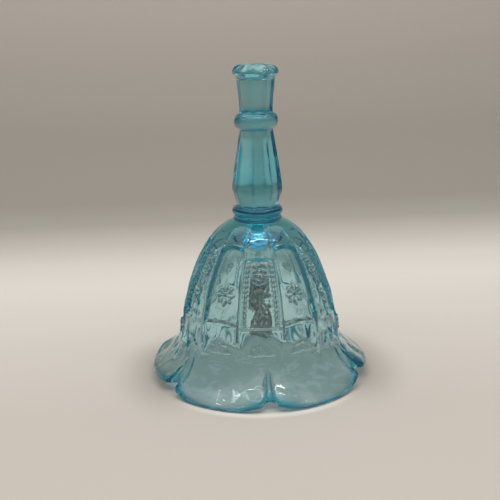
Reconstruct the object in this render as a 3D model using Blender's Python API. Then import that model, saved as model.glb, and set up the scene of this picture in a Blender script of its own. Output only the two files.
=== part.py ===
"""A pressed glass hand bell: one glass casting, and a chain and clapper hung inside it."""

import math

import bmesh
import bpy
from mathutils import Matrix, Vector

# The bell proper, in metres. It stands on the lobes of its crimped skirt.
BOWL_HEIGHT = 0.087
BOWL_TOP_RADIUS = 0.0129
BOWL_FOOT_RADIUS = 0.0438
BOWL_WALL = 0.0038
CAVITY_HEIGHT = 0.0765
# Powers that shape the outlines: a smaller shoulder value gives a squarer shoulder.
BOWL_SHOULDER = 0.63
BOWL_FLANK = 1.5
CAVITY_SHOULDER = 0.37
PANEL_COUNT = 12
PANEL_FLATNESS = 0.65
PANEL_TURN = math.radians(-4)
SKIRT_HEIGHT = 0.0285
SKIRT_RADIUS = 0.060
SKIRT_SLOPE = math.radians(36)
RIM_THICKNESS = 0.0034
FOOT_SINK = 0.00015
FOOT_HALF_ANGLE = math.radians(18)

# Six hand crimps around the skirt, the first one facing the front: each angle and its lift.
# The back half repeats the front half, so three are given.
CRIMPS = ((0, 0.0045), (63, 0.0034), (121, 0.0022))
CRIMP_SPREAD = math.radians(11)
CREASE_DEPTH = 0.0015
CREASE_SPREAD = math.radians(4.5)
# Two opposite lobes are bent up off the table; the other four carry the bell.
RAISED_LOBE_LIFT = 0.0040
RAISED_LOBE_ANGLE = math.radians(89)
RAISED_LOBE_NARROWNESS = 0.68

# The handle, from the finial down to the tier that sits on the bowl.
FINIAL_HEIGHT = 0.0088
FINIAL_RADIUS = 0.0121
FINIAL_SCALLOP = 0.0004
COLUMN_HEIGHT = 0.017
COLUMN_TOP_RADIUS = 0.0102
COLUMN_FOOT_RADIUS = 0.0090
MIDDLE_RING_HEIGHT = 0.008
MIDDLE_RING_RADIUS = 0.0117
GRIP_HEIGHT = 0.033
GRIP_TOP_RADIUS = 0.0092
GRIP_FOOT_RADIUS = 0.0138
ANKLE_HEIGHT = 0.0085
ANKLE_RADIUS = 0.0108
COLLAR_HEIGHT = 0.0053
COLLAR_RADIUS = 0.0137
TIER_HEIGHT = 0.0024
TIER_RADIUS = 0.0131
HANDLE_SIDES = 8
HANDLE_TURN = math.radians(-14.4)

# The cement plug in the crown of the bowl, and what is set in it.
FIT_GAP = 0.0003
PLUG_MOUTH_RADIUS = 0.0052
PLUG_TOP_RADIUS = 0.0036
PLUG_DEPTH = 0.0068
PLUG_DROP = 0.0040
SHANK_DEPTH = 0.0060

# Wire and chain.
EYE_WIRE = 0.0006
EYE_RADIUS = 0.0015
LINK_WIRE = 0.0005
LINK_END_RADIUS = 0.0014
LINK_STRAIGHT = 0.0024
LINK_COUNT = 2

# The metal clapper.
CLAPPER_LENGTH = 0.0372
CLAPPER_NECK_RADIUS = 0.0023
CLAPPER_NECK_LENGTH = 0.0012
CLAPPER_RADIUS = 0.0080
CLAPPER_SHOULDER = 0.0105
CLAPPER_CORNER = 0.0034

# How finely round shapes are cut.
BOWL_SEGMENTS = 96
HANDLE_SEGMENTS = 48
WIRE_SEGMENTS = 10
TURNED_SEGMENTS = 40

HANDLE_HEIGHT = (FINIAL_HEIGHT + COLUMN_HEIGHT + MIDDLE_RING_HEIGHT + GRIP_HEIGHT
                 + ANKLE_HEIGHT + COLLAR_HEIGHT + TIER_HEIGHT)


def clear_scene():
    for thing in list(bpy.data.objects):
        bpy.data.objects.remove(thing)


def make_material(name, colour, roughness, metallic, alpha=1.0):
    material = bpy.data.materials.new(name)
    material.use_nodes = True
    shader = material.node_tree.nodes["Principled BSDF"]
    shader.inputs["Base Color"].default_value = (*colour, 1.0)
    shader.inputs["Roughness"].default_value = roughness
    shader.inputs["Metallic"].default_value = metallic
    shader.inputs["Alpha"].default_value = alpha
    return material


def smooth_step(value):
    """Eases from 0 to 1."""
    value = min(1.0, max(0.0, value))
    return value * value * (3.0 - 2.0 * value)


def blend(start, end, share):
    return start + (end - start) * share


def nearest_turn(angle):
    """The same angle between minus and plus half a turn."""
    return (angle + math.pi) % (2.0 * math.pi) - math.pi


def curve_through(start, pull_start, pull_end, end, steps):
    """Points of one cubic curve, both ends included."""
    points = []
    for step in range(steps + 1):
        t = step / steps
        s = 1.0 - t
        weights = (s * s * s, 3.0 * s * s * t, 3.0 * s * t * t, t * t * t)
        corners = (start, pull_start, pull_end, end)
        points.append(tuple(sum(w * c[i] for w, c in zip(weights, corners)) for i in (0, 1)))
    return points


def angle_at(index, count):
    """Angles are counted from the front of the bell, which faces -Y, towards +X."""
    return 2.0 * math.pi * index / count


def place(angle, radius, height):
    return Vector((radius * math.sin(angle), -radius * math.cos(angle), height))


def facet_factor(angle, sides):
    """How much nearer the axis a flat of a many-sided ring is than its corners."""
    side = 2.0 * math.pi / sides
    across = angle % side - side / 2.0
    return math.cos(side / 2.0) / math.cos(across)


def handle_ring(radius, height, facets=0.0, scallop=0.0):
    ring = []
    for index in range(HANDLE_SEGMENTS):
        angle = angle_at(index, HANDLE_SEGMENTS)
        wave = scallop * math.cos(HANDLE_SIDES * angle)
        reach = radius * blend(1.0, facet_factor(angle, HANDLE_SIDES), facets)
        ring.append(place(angle + HANDLE_TURN, reach + wave, height + 0.6 * wave))
    return ring


def round_band(top, height, inner_radius, outer_radius, steps):
    """A rounded ring that swells out of the handle, as rings from its top to its foot."""
    rings = []
    for step in range(steps + 1):
        turn = math.pi * step / steps
        radius = inner_radius + (outer_radius - inner_radius) * math.sin(turn)
        rings.append(handle_ring(radius, top - height * (1.0 - math.cos(turn)) / 2.0))
    return rings


def finial_rings(top):
    """A scalloped button: a slightly domed top, a round edge, then a cove down to the column."""
    crown = FINIAL_RADIUS * 0.55
    brow = FINIAL_RADIUS * 0.84
    widest = top - FINIAL_HEIGHT * 0.52
    rings = [
        handle_ring(crown, top - FINIAL_SCALLOP, scallop=FINIAL_SCALLOP * 0.4),
        handle_ring(brow, top - FINIAL_HEIGHT * 0.13, scallop=FINIAL_SCALLOP),
        handle_ring(FINIAL_RADIUS * 0.96, top - FINIAL_HEIGHT * 0.30, scallop=FINIAL_SCALLOP),
        handle_ring(FINIAL_RADIUS, widest, scallop=FINIAL_SCALLOP),
        handle_ring(FINIAL_RADIUS * 0.95, top - FINIAL_HEIGHT * 0.74, scallop=FINIAL_SCALLOP * 0.6),
    ]
    return rings


def handle_rings():
    """Rings of the solid handle, from the finial down to the foot of the tier."""
    top = BOWL_HEIGHT + HANDLE_HEIGHT
    rings = finial_rings(top)
    height = top - FINIAL_HEIGHT
    rings.append(handle_ring(COLUMN_TOP_RADIUS, height, facets=1.0))
    height -= COLUMN_HEIGHT
    rings.append(handle_ring(blend(COLUMN_TOP_RADIUS, COLUMN_FOOT_RADIUS, 0.7),
                             height + COLUMN_HEIGHT * 0.5, facets=1.0))
    rings.append(handle_ring(COLUMN_FOOT_RADIUS, height + COLUMN_HEIGHT * 0.05, facets=1.0))
    rings += round_band(height, MIDDLE_RING_HEIGHT, COLUMN_FOOT_RADIUS, MIDDLE_RING_RADIUS, 6)
    height -= MIDDLE_RING_HEIGHT
    rings.append(handle_ring(GRIP_TOP_RADIUS, height - GRIP_HEIGHT * 0.04, facets=1.0))
    rings.append(handle_ring(blend(GRIP_TOP_RADIUS, GRIP_FOOT_RADIUS, 0.55),
                             height - GRIP_HEIGHT * 0.5, facets=1.0))
    height -= GRIP_HEIGHT
    rings.append(handle_ring(GRIP_FOOT_RADIUS * 0.985, height + GRIP_HEIGHT * 0.12, facets=1.0))
    rings.append(handle_ring(GRIP_FOOT_RADIUS, height, facets=0.8))
    rings.append(handle_ring(blend(GRIP_FOOT_RADIUS, ANKLE_RADIUS, 0.45),
                             height - ANKLE_HEIGHT * 0.5, facets=0.5))
    height -= ANKLE_HEIGHT
    rings += round_band(height, COLLAR_HEIGHT, ANKLE_RADIUS, COLLAR_RADIUS, 6)
    height -= COLLAR_HEIGHT
    rings.append(handle_ring(TIER_RADIUS, height - TIER_HEIGHT * 0.25))
    rings.append(handle_ring(TIER_RADIUS, height - TIER_HEIGHT * 0.8))
    return rings


def bowl_outside(steps):
    """The bowl swells fast under the tier, then falls nearly straight to the skirt."""
    points = []
    for step in range(1, steps + 1):
        drop = (step / steps) ** 1.5
        swell = (1.0 - (1.0 - drop) ** BOWL_FLANK) ** BOWL_SHOULDER
        radius = blend(BOWL_TOP_RADIUS, BOWL_FOOT_RADIUS, swell)
        points.append((radius, blend(BOWL_HEIGHT, SKIRT_HEIGHT, drop)))
    return points


def bowl_inside(steps):
    """The cavity wall from the skirt up to the flat crown around the plug."""
    foot = BOWL_FOOT_RADIUS - BOWL_WALL
    crown = PLUG_MOUTH_RADIUS + FIT_GAP * 4.0
    points = []
    for step in range(steps):
        drop = (1.0 - step / steps) ** 2.0
        radius = blend(crown, foot, drop ** CAVITY_SHOULDER)
        points.append((radius, blend(CAVITY_HEIGHT, SKIRT_HEIGHT, drop)))
    return points


def rim_centre():
    half = RIM_THICKNESS / 2.0
    return SKIRT_RADIUS - half, half - FOOT_SINK


def rim_edge(turn):
    """A point of the round rim; turn is 0 on the skirt's outside and half a turn on its inside."""
    half = RIM_THICKNESS / 2.0
    centre_radius, centre_height = rim_centre()
    lean = math.pi / 2.0 - SKIRT_SLOPE - turn
    return centre_radius + half * math.cos(lean), max(0.0, centre_height + half * math.sin(lean))


def rim_outline():
    """Round the rim, with a narrow flat where the lobes touch the table."""
    foot = math.pi - SKIRT_SLOPE
    flat_start = foot - FOOT_HALF_ANGLE
    turns = (flat_start / 3.0, flat_start * 2.0 / 3.0, flat_start, foot + FOOT_HALF_ANGLE)
    return [rim_edge(turn) for turn in turns]


def skirt_outside(steps):
    edge = rim_edge(0.0)
    pull = (SKIRT_RADIUS - BOWL_FOOT_RADIUS) * 0.75
    start = (BOWL_FOOT_RADIUS, SKIRT_HEIGHT)
    pull_start = (BOWL_FOOT_RADIUS + 0.0001, SKIRT_HEIGHT * 0.70)
    pull_end = (edge[0] - pull, edge[1] + pull * math.tan(SKIRT_SLOPE))
    return curve_through(start, pull_start, pull_end, edge, steps)[1:]


def skirt_inside(steps):
    edge = rim_edge(math.pi)
    pull = (SKIRT_RADIUS - BOWL_FOOT_RADIUS) * 0.75
    end = (BOWL_FOOT_RADIUS - BOWL_WALL, SKIRT_HEIGHT)
    pull_start = (edge[0] - pull, edge[1] + pull * math.tan(SKIRT_SLOPE))
    pull_end = (end[0] + 0.0004, SKIRT_HEIGHT * 0.62)
    return curve_through(edge, pull_start, pull_end, end, steps)[:-1]


def crimped_ring(radius, height, flatness=0.0):
    """A ring of the bell; the nearer the rim, the more the crimps lift it and push it in."""
    reach = smooth_step(1.0 - height / SKIRT_HEIGHT)
    ring = []
    for index in range(BOWL_SEGMENTS):
        share = angle_at(index, BOWL_SEGMENTS)
        angle = share + PANEL_TURN + math.pi / PANEL_COUNT
        flat = blend(1.0, facet_factor(share, PANEL_COUNT), flatness)
        lift, push = crimp_shift(angle)
        low = max(0.0, height + (lift - FOOT_SINK) * reach)
        ring.append(place(angle, radius * flat - push * reach, low))
    return ring


def crimp_shift(angle):
    """How far the crimps lift the rim and push it in, at one angle."""
    off_line = abs(math.cos(angle - RAISED_LOBE_ANGLE)) - RAISED_LOBE_NARROWNESS
    lift = RAISED_LOBE_LIFT * smooth_step(off_line / (1.0 - RAISED_LOBE_NARROWNESS))
    push = 0.0
    for degrees, crimp_lift in CRIMPS:
        for half_turn in (0.0, math.pi):
            away = nearest_turn(angle - math.radians(degrees) - half_turn)
            lift += crimp_lift * math.exp(-(away / CRIMP_SPREAD) ** 2)
            push += CREASE_DEPTH * math.exp(-(away / CREASE_SPREAD) ** 2)
    return lift, push


def panel_flatness(height):
    """The panels fade out into the round shoulder above and into the skirt below."""
    from_top = smooth_step((BOWL_HEIGHT - height) / (BOWL_HEIGHT * 0.3))
    from_foot = smooth_step((height - SKIRT_HEIGHT * 0.5) / (SKIRT_HEIGHT * 0.6))
    return PANEL_FLATNESS * from_top * from_foot


def bowl_rings():
    """Rings down the outside of the bell, round the rim and up the inside to the crown."""
    outside = bowl_outside(9) + skirt_outside(6)
    rings = [crimped_ring(radius, height, panel_flatness(height)) for radius, height in outside]
    inside = rim_outline() + skirt_inside(5) + bowl_inside(8)
    return rings + [crimped_ring(radius, height) for radius, height in inside]


def socket_rings():
    """The tapered socket in the crown that takes the plug."""
    mouth = PLUG_MOUTH_RADIUS + FIT_GAP
    top = PLUG_TOP_RADIUS + FIT_GAP
    taper = PLUG_DROP / (PLUG_DROP + PLUG_DEPTH)
    entry = blend(mouth, top, taper)
    roof = CAVITY_HEIGHT + PLUG_DEPTH + FIT_GAP
    turn = PANEL_TURN + math.pi / PANEL_COUNT
    return [plain_ring(entry, CAVITY_HEIGHT, turn=turn), plain_ring(top, roof, turn=turn)]


def plain_ring(radius, height, count=HANDLE_SEGMENTS, turn=0.0):
    return [place(angle_at(index, count) + turn, radius, height) for index in range(count)]


def join_rings(mesh, upper, lower):
    """Faces between two rings of vertices; the lower ring may have twice the upper ring's count."""
    count = len(upper)
    ratio = len(lower) // count
    for index in range(count):
        after = (index + 1) % count
        if ratio == 1:
            mesh.faces.new((upper[index], lower[index], lower[after], upper[after]))
            continue
        near, middle, far = (lower[(2 * index + k) % len(lower)] for k in (0, 1, 2))
        mesh.faces.new((upper[index], near, middle))
        mesh.faces.new((upper[index], middle, upper[after]))
        mesh.faces.new((upper[after], middle, far))


def close_ring(mesh, ring, height, faces_up):
    centre = mesh.verts.new((0.0, 0.0, height))
    for index, vertex in enumerate(ring):
        after = ring[(index + 1) % len(ring)]
        corners = (centre, vertex, after) if faces_up else (centre, after, vertex)
        mesh.faces.new(corners)


def add_rings(mesh, rings):
    return [[mesh.verts.new(point) for point in ring] for ring in rings]


def finish_mesh(name, mesh, material, origin=(0.0, 0.0, 0.0), sharp=35.0):
    """Turns a bmesh into an object whose origin is the given point."""
    bmesh.ops.recalc_face_normals(mesh, faces=mesh.faces)
    bmesh.ops.translate(mesh, verts=mesh.verts, vec=-Vector(origin))
    data = bpy.data.meshes.new(name)
    mesh.to_mesh(data)
    mesh.free()
    data.shade_smooth()
    data.set_sharp_from_angle(angle=math.radians(sharp))
    data.materials.append(material)
    thing = bpy.data.objects.new(name, data)
    thing.location = origin
    bpy.context.scene.collection.objects.link(thing)
    return thing


def turn_ring_start(rings):
    """Starts each handle ring where the bowl's rings start, at the edge of a panel."""
    start = PANEL_TURN + math.pi / PANEL_COUNT
    shift = round((start - HANDLE_TURN) / (2.0 * math.pi) * HANDLE_SEGMENTS)
    return [ring[shift:] + ring[:shift] for ring in rings]


def build_glass(material):
    """The whole glass casting is one closed body: handle, bowl, skirt, cavity and socket."""
    mesh = bmesh.new()
    handle = add_rings(mesh, turn_ring_start(handle_rings()))
    bowl = add_rings(mesh, bowl_rings())
    socket = add_rings(mesh, socket_rings())
    close_ring(mesh, handle[0], BOWL_HEIGHT + HANDLE_HEIGHT - FINIAL_SCALLOP, True)
    for upper, lower in zip(handle, handle[1:]):
        join_rings(mesh, upper, lower)
    join_rings(mesh, handle[-1], bowl[0])
    for upper, lower in zip(bowl, bowl[1:]):
        join_rings(mesh, upper, lower)
    join_rings(mesh, socket[0], bowl[-1])
    join_rings(mesh, socket[0], socket[1])
    close_ring(mesh, socket[1], CAVITY_HEIGHT + PLUG_DEPTH + FIT_GAP, False)
    return finish_mesh("glass_bell", mesh, material)


def turned_body(name, outline, material, origin=(0.0, 0.0, 0.0)):
    """A body turned about the axis; its outline starts and ends on the axis."""
    mesh = bmesh.new()
    rings = add_rings(mesh, [plain_ring(r, z, TURNED_SEGMENTS) for r, z in outline[1:-1]])
    for upper, lower in zip(rings, rings[1:]):
        join_rings(mesh, upper, lower)
    close_ring(mesh, rings[0], outline[0][1], True)
    close_ring(mesh, rings[-1], outline[-1][1], False)
    return finish_mesh(name, mesh, material, origin)


def plug_bottom():
    return CAVITY_HEIGHT - PLUG_DROP


def build_plug(material):
    """The cement plug fills its socket and holds the shank of the wire eye in a blind hole."""
    top = CAVITY_HEIGHT + PLUG_DEPTH
    bottom = plug_bottom()
    hole = EYE_WIRE + FIT_GAP
    hole_top = bottom + SHANK_DEPTH + FIT_GAP
    outline = [(0.0, top), (PLUG_TOP_RADIUS, top), (PLUG_MOUTH_RADIUS, bottom),
               (hole, bottom), (hole, hole_top), (0.0, hole_top)]
    return turned_body("anchor_plug", outline, material)


def wire_loop(path, across, wire):
    """A closed round wire in one plane; path holds its centres and across is the plane's normal."""
    mesh = bmesh.new()
    rings = []
    for index, centre in enumerate(path):
        along = (path[(index + 1) % len(path)] - path[index - 1]).normalized()
        outward = along.cross(across)
        ring = []
        for side in range(WIRE_SEGMENTS):
            turn = angle_at(side, WIRE_SEGMENTS)
            ring.append(centre + wire * (math.cos(turn) * outward + math.sin(turn) * across))
        rings.append(ring)
    rings = add_rings(mesh, rings)
    for index, ring in enumerate(rings):
        join_rings(mesh, rings[index - 1], ring)
    return mesh


def link_path(centre, width_axis):
    """The long-round path of a link that stands upright."""
    path = []
    for end in (1.0, -1.0):
        for step in range(9):
            turn = math.pi * step / 8.0
            side = end * LINK_END_RADIUS * math.cos(turn)
            rise = end * (LINK_STRAIGHT / 2.0 + LINK_END_RADIUS * math.sin(turn))
            path.append(centre + side * width_axis + Vector((0.0, 0.0, rise)))
    return path


def ring_path(centre, width_axis):
    path = []
    for step in range(20):
        turn = 2.0 * math.pi * step / 20.0
        offset = EYE_RADIUS * (math.cos(turn) * width_axis + math.sin(turn) * Vector((0, 0, 1)))
        path.append(centre + offset)
    return path


def add_shank(eye, start, end):
    """Welds a straight shank to a wire eye with a union."""
    mesh = bmesh.new()
    middle = Matrix.Translation(((0.0, 0.0, (start + end) / 2.0)))
    bmesh.ops.create_cone(mesh, cap_ends=True, segments=WIRE_SEGMENTS * 2, radius1=EYE_WIRE,
                          radius2=EYE_WIRE, depth=abs(end - start), matrix=middle)
    shank = finish_mesh(eye.name + "_shank_tool", mesh, eye.data.materials[0])
    shank.hide_render = True
    shank.hide_viewport = True
    shank.display_type = "WIRE"
    union = eye.modifiers.new("shank", "BOOLEAN")
    union.operation = "UNION"
    union.object = shank


def build_eye(name, centre_height, width_axis, shank_end, material, origin):
    centre = Vector((0.0, 0.0, centre_height))
    across = width_axis.cross(Vector((0.0, 0.0, 1.0)))
    mesh = wire_loop(ring_path(centre, width_axis), across, EYE_WIRE)
    eye = finish_mesh(name, mesh, material, origin)
    side = 1.0 if shank_end > centre_height else -1.0
    add_shank(eye, centre_height + side * EYE_RADIUS, shank_end)
    return eye


def build_chain(top_wire, material):
    """Links hang one from the next, turned a quarter turn each; returns the last bottom wire."""
    width_axes = (Vector((0.0, 1.0, 0.0)), Vector((1.0, 0.0, 0.0)))
    wire_above = EYE_WIRE
    reach = LINK_STRAIGHT / 2.0 + LINK_END_RADIUS
    for index in range(LINK_COUNT):
        width_axis = width_axes[index % 2]
        centre = Vector((0.0, 0.0, top_wire + wire_above + LINK_WIRE + FIT_GAP - reach))
        across = width_axis.cross(Vector((0.0, 0.0, 1.0)))
        mesh = wire_loop(link_path(centre, width_axis), across, LINK_WIRE)
        finish_mesh(f"chain_link_{index + 1}", mesh, material, (0.0, 0.0, top_wire))
        top_wire = centre.z - reach
        wire_above = LINK_WIRE
    return top_wire


def clapper_outline(top):
    """A bullet: a short neck, a round shoulder, a straight side and a rounded edge to its flat foot."""
    hole = EYE_WIRE + FIT_GAP
    hole_foot = top - SHANK_DEPTH - FIT_GAP
    neck_foot = top - CLAPPER_NECK_LENGTH
    shoulder = top - CLAPPER_SHOULDER
    foot = top - CLAPPER_LENGTH
    outline = [(0.0, hole_foot), (hole, hole_foot), (hole, top)]
    outline += [(CLAPPER_NECK_RADIUS * 0.85, top), (CLAPPER_NECK_RADIUS, top - 0.0004)]
    outline += curve_through((CLAPPER_NECK_RADIUS, neck_foot), (CLAPPER_RADIUS * 0.7, neck_foot - 0.0006),
                             (CLAPPER_RADIUS, shoulder + 0.005), (CLAPPER_RADIUS, shoulder), 10)
    for step in range(7):
        turn = math.pi / 2.0 * step / 6.0
        inset = CLAPPER_CORNER * (1.0 - math.cos(turn))
        outline.append((CLAPPER_RADIUS - inset, foot + CLAPPER_CORNER * (1.0 - math.sin(turn))))
    outline.append((0.0, foot))
    return outline


def build_clapper(last_wire, wire_material, metal):
    """The clapper swings from the last link by its own wire eye, set in its neck."""
    origin = (0.0, 0.0, last_wire)
    eye_centre = last_wire + EYE_WIRE + LINK_WIRE + FIT_GAP - EYE_RADIUS
    top = eye_centre - EYE_RADIUS - EYE_WIRE - FIT_GAP
    width_axis = Vector((0.0, 1.0, 0.0)) if LINK_COUNT % 2 == 0 else Vector((1.0, 0.0, 0.0))
    build_eye("clapper_eye", eye_centre, width_axis, top - SHANK_DEPTH, wire_material, origin)
    turned_body("clapper_body", clapper_outline(top), metal, origin)


def build():
    clear_scene()
    glass = make_material("aqua glass", (0.36, 0.74, 0.80), 0.03, 0.0, 0.35)
    cement = make_material("white cement", (0.80, 0.82, 0.80), 0.75, 0.0)
    wire = make_material("steel wire", (0.62, 0.62, 0.61), 0.28, 1.0)
    metal = make_material("clapper metal", (0.50, 0.50, 0.49), 0.22, 1.0)
    build_glass(glass)
    build_plug(cement)
    eye_centre = plug_bottom() - FIT_GAP - EYE_RADIUS - EYE_WIRE
    build_eye("anchor_eye", eye_centre, Vector((1.0, 0.0, 0.0)),
              plug_bottom() + SHANK_DEPTH, wire, (0.0, 0.0, eye_centre))
    last_wire = build_chain(eye_centre - EYE_RADIUS, wire)
    build_clapper(last_wire, wire, metal)


build()
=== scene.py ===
import math

import bpy
import numpy as np
from mathutils import Matrix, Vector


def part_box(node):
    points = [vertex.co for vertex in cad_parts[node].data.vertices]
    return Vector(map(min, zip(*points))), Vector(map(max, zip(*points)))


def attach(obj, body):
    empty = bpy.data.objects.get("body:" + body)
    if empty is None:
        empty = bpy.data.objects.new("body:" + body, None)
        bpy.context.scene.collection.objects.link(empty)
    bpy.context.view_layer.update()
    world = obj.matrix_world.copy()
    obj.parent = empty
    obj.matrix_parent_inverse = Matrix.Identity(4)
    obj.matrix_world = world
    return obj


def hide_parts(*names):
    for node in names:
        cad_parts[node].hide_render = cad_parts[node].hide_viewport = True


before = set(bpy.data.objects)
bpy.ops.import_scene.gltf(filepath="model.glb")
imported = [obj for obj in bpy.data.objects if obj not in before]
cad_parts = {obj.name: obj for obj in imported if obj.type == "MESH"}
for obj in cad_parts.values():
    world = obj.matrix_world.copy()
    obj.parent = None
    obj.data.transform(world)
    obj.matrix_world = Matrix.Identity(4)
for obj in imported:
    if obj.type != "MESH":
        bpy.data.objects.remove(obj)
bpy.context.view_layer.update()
print("frame: loaded", len(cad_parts), "parts")


# Shader maths: a Flow is one output of a material's nodes, and sums written with it add Math nodes.
class Flow:
    def __init__(self, tree, socket=None):
        self.tree = tree
        self.socket = socket

    def add(self, kind, settings=None, inputs=None, out=0):
        node = self.tree.nodes.new(kind)
        for name, value in (settings or {}).items():
            if name == "stops":
                ramp = node.color_ramp.elements
                while len(ramp) < len(value):
                    ramp.new(0.5)
                for element, (position, colour) in zip(ramp, value):
                    element.position = position
                    element.color = (*colour, 1.0)
            else:
                setattr(node, name, value)
        for name, value in (inputs or {}).items():
            if isinstance(value, Flow):
                self.tree.links.new(value.socket, node.inputs[name])
            else:
                node.inputs[name].default_value = value
        return Flow(self.tree, node.outputs[out])

    def maths(self, operation, *terms):
        return self.add("ShaderNodeMath", {"operation": operation}, dict(enumerate(terms)))

    def __add__(self, other):
        return self.maths("ADD", self, other)

    def __radd__(self, other):
        return self.maths("ADD", other, self)

    def __sub__(self, other):
        return self.maths("SUBTRACT", self, other)

    def __rsub__(self, other):
        return self.maths("SUBTRACT", other, self)

    def __mul__(self, other):
        return self.maths("MULTIPLY", self, other)

    def __rmul__(self, other):
        return self.maths("MULTIPLY", other, self)

    def between(self, low, high):  # 0 below low, 1 above high, eased
        return self.add("ShaderNodeMapRange", {"interpolation_type": "SMOOTHSTEP"},
                        {"Value": self, "From Min": low, "From Max": high})

    def tint(self, colourA, colourB):  # colourA where this is 0, colourB where it is 1
        ends = [end if isinstance(end, Flow) else (*end, 1.0) for end in (colourA, colourB)]
        inputs = {"Factor": self, 6: ends[0], 7: ends[1]}    # 6 and 7 are its colour sockets A and B
        return self.add("ShaderNodeMix", {"data_type": "RGBA"}, inputs, out=2)


def newMaterial(name):
    material = bpy.data.materials.new(name)
    material.use_nodes = True
    material.node_tree.nodes.clear()
    return material, Flow(material.node_tree)


def noise(flow, scale, detail):
    place = flow.add("ShaderNodeTexCoord", out="Object")
    return flow.add("ShaderNodeTexNoise", None, {"Vector": place, "Scale": scale, "Detail": detail})


def endMaterial(flow, shader, volume=None):
    outputs = {"Surface": shader}
    if volume:
        outputs["Volume"] = volume
    node = flow.tree.nodes.new("ShaderNodeOutputMaterial")
    for name, value in outputs.items():
        flow.tree.links.new(value.socket, node.inputs[name])


# Small sums for outlines
def smooth(value):  # eases from 0 to 1
    value = np.clip(value, 0.0, 1.0)
    return value * value * (3.0 - 2.0 * value)


def mix(start, end, share):
    return start + (end - start) * share


def hump(offset, width):
    return np.exp(-(offset / width) ** 2)


def wrapped(angle):  # the same angle between minus and plus half a turn
    return (angle + math.pi) % (2.0 * math.pi) - math.pi


def curveThrough(start, pullStart, pullEnd, end, steps):
    t = np.linspace(0.0, 1.0, steps + 1)[:, None]
    s = 1.0 - t
    corners = [np.array(corner) for corner in (start, pullStart, pullEnd, end)]
    first = s ** 3 * corners[0] + 3 * s * s * t * corners[1]
    return first + 3 * s * t * t * corners[2] + t ** 3 * corners[3]


def lengthAlong(line):
    return np.concatenate(([0.0], np.cumsum(np.hypot(*np.diff(line, axis=0).T))))


def evenly(line, gap):  # the same outline with its points a gap apart
    along = lengthAlong(line)
    wanted = np.linspace(0.0, along[-1], max(2, round(along[-1] / gap) + 1))
    return np.column_stack([np.interp(wanted, along, line[:, k]) for k in (0, 1)])


def cutLine(line, high, low):  # the part of a falling outline between two heights
    ends = [np.interp([-high, -low], -line[:, 1], line[:, k]) for k in (0, 1)]
    inside = line[(line[:, 1] < high - 1e-6) & (line[:, 1] > low + 1e-6)]
    return np.vstack(([ends[0][0], ends[1][0]], inside, [ends[0][1], ends[1][1]]))


# Modelling helpers
mergeGap = 0.000002    # metres; vertices nearer than this become one


def alone(piece):
    bpy.ops.object.select_all(action="DESELECT")
    piece.select_set(True)
    bpy.context.view_layer.objects.active = piece


def turnLine(name, line, start, steps):
    # one vertex is pulled along the outline, (radius, height) points at an angle from the front, then spun
    bpy.ops.object.select_all(action="DESELECT")
    bpy.ops.mesh.primitive_plane_add(size=0.001)
    piece = bpy.context.object
    piece.name = name
    bpy.ops.object.mode_set(mode="EDIT")
    bpy.ops.mesh.select_mode(type="VERT")
    bpy.ops.mesh.select_all(action="SELECT")
    bpy.ops.mesh.merge(type="CENTER")
    places = np.column_stack((line[:, 0] * math.sin(start), -line[:, 0] * math.cos(start), line[:, 1]))
    bpy.ops.transform.translate(value=places[0])
    for move in np.diff(places, axis=0):
        bpy.ops.mesh.extrude_region_move(TRANSFORM_OT_translate={"value": move})
    bpy.ops.mesh.select_all(action="SELECT")
    bpy.ops.mesh.spin(steps=steps, angle=2.0 * math.pi, center=(0, 0, 0), axis=(0, 0, 1))
    bpy.ops.mesh.select_all(action="SELECT")
    bpy.ops.mesh.remove_doubles(threshold=mergeGap)
    bpy.ops.object.mode_set(mode="OBJECT")
    return piece


def readPlaces(piece):  # angle from the front, radius and height of every vertex
    places = np.empty(len(piece.data.vertices) * 3)
    piece.data.vertices.foreach_get("co", places)
    x, y, z = places.reshape(-1, 3).T
    return np.arctan2(x, -y), np.hypot(x, y), z


def writePlaces(piece, angle, radius, height):
    places = np.column_stack((radius * np.sin(angle), -radius * np.cos(angle), height))
    piece.data.vertices.foreach_set("co", places.ravel())
    piece.data.update()


def keepValues(piece, name, values):  # one number for every vertex, read by the material
    attribute = piece.data.attributes.new(name, "FLOAT", "POINT")
    attribute.data.foreach_set("value", np.clip(values, 0.0, 1.0))


def joinPieces(pieces):
    alone(pieces[0])
    for piece in pieces[1:]:
        piece.select_set(True)
    bpy.ops.object.join()
    return bpy.context.object


def selectOpenEdges(piece, radiusRange, heightRange):
    # edges with one face, by where they are; radius and height ranges are taken at both ends
    bpy.ops.object.mode_set(mode="OBJECT")
    radius, height = readPlaces(piece)[1:]
    near = (radius > radiusRange[0]) & (radius < radiusRange[1])
    near &= (height > heightRange[0]) & (height < heightRange[1])
    faces = np.zeros(len(piece.data.edges), int)
    loopEdges = np.empty(len(piece.data.loops), int)
    piece.data.loops.foreach_get("edge_index", loopEdges)
    np.add.at(faces, loopEdges, 1)
    ends = np.empty(len(piece.data.edges) * 2, int)
    piece.data.edges.foreach_get("vertices", ends)
    chosen = (faces == 1) & near[ends.reshape(-1, 2)].all(axis=1)
    bpy.ops.object.mode_set(mode="EDIT")
    bpy.ops.mesh.select_mode(type="EDGE")
    bpy.ops.mesh.select_all(action="DESELECT")
    bpy.ops.object.mode_set(mode="OBJECT")
    piece.data.edges.foreach_set("select", chosen)
    bpy.ops.object.mode_set(mode="EDIT")
    return int(chosen.sum())


def cleanUp(piece):
    alone(piece)
    bpy.ops.object.mode_set(mode="EDIT")
    bpy.ops.mesh.select_all(action="SELECT")
    bpy.ops.mesh.remove_doubles(threshold=mergeGap)
    bpy.ops.mesh.normals_make_consistent(inside=False)
    bpy.ops.object.mode_set(mode="OBJECT")
    bpy.ops.object.shade_smooth()


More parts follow.
